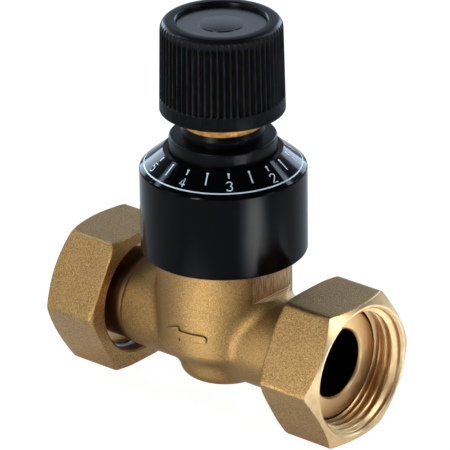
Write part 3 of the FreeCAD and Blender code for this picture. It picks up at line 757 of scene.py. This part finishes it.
# %% Floor
def floor_finish():
    finish = Finish("pale_floor")
    camera_ray, glossy_ray, passing_ray = [
        finish.add("ShaderNodeLightPath", {}, {}, kind)
        for kind in ("Is Camera Ray", "Is Glossy Ray", "Is Transmission Ray")
    ]
    share = camera_ray * 0.80 + (glossy_ray + passing_ray) * 0.27
    paper = finish.add("ShaderNodeBsdfDiffuse", {}, {"Color": (0.9, 0.9, 0.9, 1.0)})
    glow = finish.add("ShaderNodeEmission", {}, {"Color": (1, 1, 1, 1), "Strength": 1.15})
    finish.add_output(finish.add("ShaderNodeMixShader", {}, {0: share, 1: paper, 2: glow}))
    return finish.material


floor_level = cad_box[0][2]
floor_reach = 6.0
mesh = bpy.data.meshes.new("floor")
signs = [(-1, -1), (1, -1), (1, 1), (-1, 1)]
corners = [(floor_reach * u, floor_reach * v, floor_level) for u, v in signs]
mesh.from_pydata(corners, [], [(0, 1, 2, 3)])
mesh.materials.append(floor_finish())
floor = bpy.data.objects.new("floor", mesh)
bpy.context.scene.collection.objects.link(floor)
print("floor at", round(floor_level, 4))

# %% [markdown]
# Soft lamps stand around the valve at about a metre: a narrow key and two soft boxes in
# front, two strips behind that draw the streaks on the cone, and two wide ones for the rear
# edges. Nothing hangs overhead, which keeps the nuts' upper flats dull. A brass barrel
# mirrors the floor, so small lamps that look straight down brighten the patches of floor
# that make its upright highlight and the band on the sleeve.

# %% Lamps
centre = Vector((0, 0, 0.033))


def lamp(name, azimuth, elevation, distance, width, height, watts, colour):
    """Area lamp facing the valve; azimuth is counted from the camera, positive to its right."""
    turn, rise = camera_azimuth + math.radians(azimuth), math.radians(elevation)
    level = math.cos(rise)
    away = Vector((math.cos(turn) * level, math.sin(turn) * level, math.sin(rise)))
    data = bpy.data.lights.new(name, "AREA")
    data.shape = "RECTANGLE"
    data.size, data.size_y = width, height
    data.energy = watts
    data.color = colour
    source = bpy.data.objects.new(name, data)
    facing = away.to_track_quat("Z", "Y").to_matrix().to_4x4()
    source.matrix_world = Matrix.Translation(centre + away * distance) @ facing
    bpy.context.scene.collection.objects.link(source)


cool, neutral = (0.66, 0.81, 1.0), (1.0, 0.99, 0.97)
lamp("front_key", -34, 18, 0.9, 0.12, 0.4, 4.5, neutral)
lamp("front_left_softbox", -76, 22, 0.9, 0.40, 0.5, 1.0, neutral)
lamp("front_right_softbox", 66, 19, 0.9, 0.20, 0.3, 1.3, neutral)
lamp("left_strip", -119, 38, 0.9, 0.04, 0.6, 2.2, cool)
lamp("right_strip", 119, 38, 0.9, 0.04, 0.6, 2.2, cool)
lamp("rear_left_softbox", -148, 14, 1.0, 0.3, 0.5, 4.0, cool)
lamp("rear_right_softbox", 148, 14, 1.0, 0.3, 0.5, 4.0, cool)


def floor_lamp(name, azimuth, distance, height, size, watts):
    """Small lamp that looks straight down and brightens a patch of the floor beside the valve."""
    turn = camera_azimuth + math.radians(azimuth)
    data = bpy.data.lights.new(name, "AREA")
    data.shape = "DISK"
    data.size = size
    data.spread = math.radians(70)
    data.energy = watts
    source = bpy.data.objects.new(name, data)
    source.location = (distance * math.cos(turn), distance * math.sin(turn), floor_level + height)
    bpy.context.scene.collection.objects.link(source)


floor_lamp("floor_left_lamp", -34, 0.075, 0.06, 0.02, 0.07)
floor_lamp("floor_right_lamp", 39, 0.143, 0.07, 0.03, 0.30)
floor_lamp("floor_nut_lamp", 74, 0.095, 0.05, 0.02, 0.05)


class Surroundings(Finish):
    """The world's light, built with the same arithmetic."""

    def __init__(self, name):
        self.world = bpy.data.worlds.new(name)
        self.world.use_nodes = True
        self.tree = self.world.node_tree
        self.tree.nodes.clear()
        self.place = self.add("ShaderNodeTexCoord", {}, {}, "Generated")

    def add_output(self, shader):
        output = self.tree.nodes.new("ShaderNodeOutputWorld")
        self.tree.links.new(shader.socket, output.inputs["Surface"])


def studio_world():
    studio = Surroundings("studio")
    x, y, z = studio.axes()
    behind = 0 - (x * math.cos(camera_azimuth) + y * math.sin(camera_azimuth))
    backdrop = behind.step(0.25, 0.75) * z.under(0.42, 0.72)
    sky = {"Color": (0.72, 0.82, 1.0, 1.0), "Strength": 0.10 + 0.75 * backdrop}
    studio.add_output(studio.add("ShaderNodeBackground", {}, sky))
    return studio.world


bpy.context.scene.world = studio_world()

# %% [markdown]
# The camera is a long lens far away, looking down at about 25 degrees from the front right.

# %% Camera
place = Vector((709.64, -840.61, 531.76)) * MM
aim = Vector((0.172, 0.146, 28.137)) * MM
roll = math.radians(-0.7625)
forward = (aim - place).normalized()
right = forward.cross(Vector((0, 0, 1))).normalized()
up = right.cross(forward)
rolled_right = right * math.cos(roll) + up * math.sin(roll)
rolled_up = rolled_right.cross(forward)
lens = bpy.data.cameras.new("camera")
lens.sensor_width = 36.0
lens.lens = 377.68
lens.clip_end = 20.0
camera = bpy.data.objects.new("camera", lens)
turned = Matrix([rolled_right, rolled_up, -forward]).transposed().to_4x4()
camera.matrix_world = Matrix.Translation(place) @ turned
bpy.context.scene.collection.objects.link(camera)
bpy.context.scene.camera = camera
bpy.context.scene.view_settings.view_transform = "Standard"
print("camera distance:", round((aim - place).length, 4))
